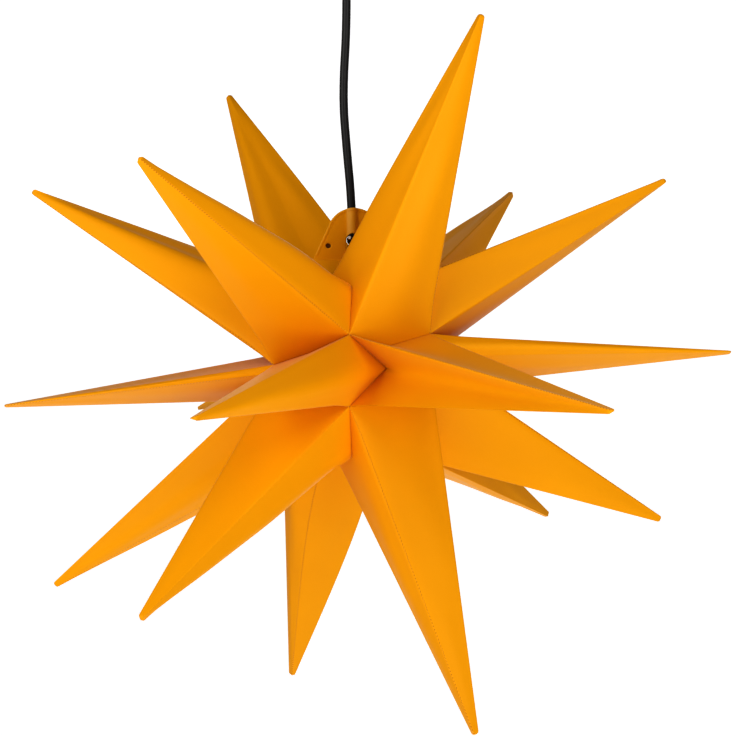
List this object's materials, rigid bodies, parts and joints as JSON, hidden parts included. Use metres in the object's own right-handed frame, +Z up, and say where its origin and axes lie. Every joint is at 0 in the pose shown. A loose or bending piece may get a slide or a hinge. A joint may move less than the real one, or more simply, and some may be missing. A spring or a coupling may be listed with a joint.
{
  "type": "star pendant lamp",
  "caption": "Folding star lantern of orange film spikes round a bulb, closed by two flaps and hanging on a black cord from a ceiling canopy.",
  "frame": {"origin": "middle of the fixing bracket's upper face, on the ceiling", "axes": "+Z up to the ceiling, the side of the picture at -Y, +X to the right of the picture"},
  "size_m": [0.5642, 0.5502, 0.6343],
  "materials": {
    "orange_film": "satin",
    "black_cord": "satin",
    "black_gloss": "gloss",
    "black_plastic": "satin",
    "bright_screw": "polished",
    "zinc_steel": "satin",
    "pale_plastic": "satin",
    "brass": "satin",
    "nickel_brass": "satin",
    "rubber": "matte",
    "white_plastic": "satin",
    "white_diffuser": "satin",
    "board_metal": "matte"
  },
  "bodies": {
    "fitting": {"ceiling_bracket": "zinc_steel", "canopy_cup": "black_plastic", "canopy_screws": "zinc_steel", "cord_grip": "black_plastic", "grip_nut": "black_plastic", "terminal_block": "pale_plastic", "terminal_screws": "zinc_steel", "cord_tail": "black_cord"},
    "cord": {"hanging_cord": "black_cord"},
    "star": {"lower_spike_1_left_panel": "orange_film", "lower_spike_1_right_panel": "orange_film", "lower_spike_2_left_panel": "orange_film", "lower_spike_2_right_panel": "orange_film", "lower_spike_3_left_panel": "orange_film", "lower_spike_3_right_panel": "orange_film", "lower_spike_4_left_panel": "orange_film", "lower_spike_4_right_panel": "orange_film", "lower_spike_5_left_panel": "orange_film", "lower_spike_5_right_panel": "orange_film", "lower_spike_6_left_panel": "orange_film", "lower_spike_6_right_panel": "orange_film", "middle_spike_1_left_panel": "orange_film", "middle_spike_1_right_panel": "orange_film", "middle_spike_2_left_panel": "orange_film", "middle_spike_2_right_panel": "orange_film", "middle_spike_3_left_panel": "orange_film", "middle_spike_3_right_panel": "orange_film", "middle_spike_4_left_panel": "orange_film", "middle_spike_4_right_panel": "orange_film", "middle_spike_5_left_panel": "orange_film", "middle_spike_5_right_panel": "orange_film", "middle_spike_6_left_panel": "orange_film", "middle_spike_6_right_panel": "orange_film", "upper_spike_1_left_panel": "orange_film", "upper_spike_1_right_panel": "orange_film", "upper_spike_2_left_panel": "orange_film", "upper_spike_2_right_panel": "orange_film", "upper_spike_3_left_panel": "orange_film", "upper_spike_3_right_panel": "orange_film", "upper_spike_4_left_panel": "orange_film", "upper_spike_4_right_panel": "orange_film", "upper_spike_5_left_panel": "orange_film", "upper_spike_5_right_panel": "orange_film", "upper_spike_6_left_panel": "orange_film", "upper_spike_6_right_panel": "orange_film", "bottom_panel": "orange_film", "cord_stop": "black_gloss", "stop_screw": "bright_screw", "lamp_lead": "black_cord", "holder_cap": "black_plastic", "holder_shell": "black_plastic", "contact_sleeve": "brass", "centre_contact": "brass", "seal_ring": "rubber"},
    "front_closure": {"front_flap": "orange_film"},
    "rear_closure": {"rear_flap": "orange_film"},
    "bulb": {"bulb_cap": "nickel_brass", "bulb_housing": "white_plastic", "led_board": "board_metal", "bulb_globe": "white_diffuser"}
  },
  "joints": [
    {"name": "cord_swing", "type": "hinge", "parent": "fitting", "child": "cord", "pos_m": [0, 0, -0.069], "axis": [0, 1, 0], "range_deg": [-20, 20]},
    {"name": "star_turn", "type": "hinge", "parent": "cord", "child": "star", "pos_m": [-0.0009, 0, -0.2675], "axis": [0, 0, 1], "range_deg": [-180, 180]},
    {"name": "front_flap_fold", "type": "hinge", "parent": "star", "child": "front_closure", "pos_m": [-0.0011, -0.0381, -0.30753], "axis": [0.9996, 0, -0.0297], "range_deg": [0, 45]},
    {"name": "rear_flap_fold", "type": "hinge", "parent": "star", "child": "rear_closure", "pos_m": [-0.0011, 0.0381, -0.30753], "axis": [-0.9996, 0, 0.0297], "range_deg": [0, 45]},
    {"name": "bulb_removal", "type": "slide", "parent": "star", "child": "bulb", "axis": [0, 0, -1], "range_m": [0, 0.022]}
  ]
}
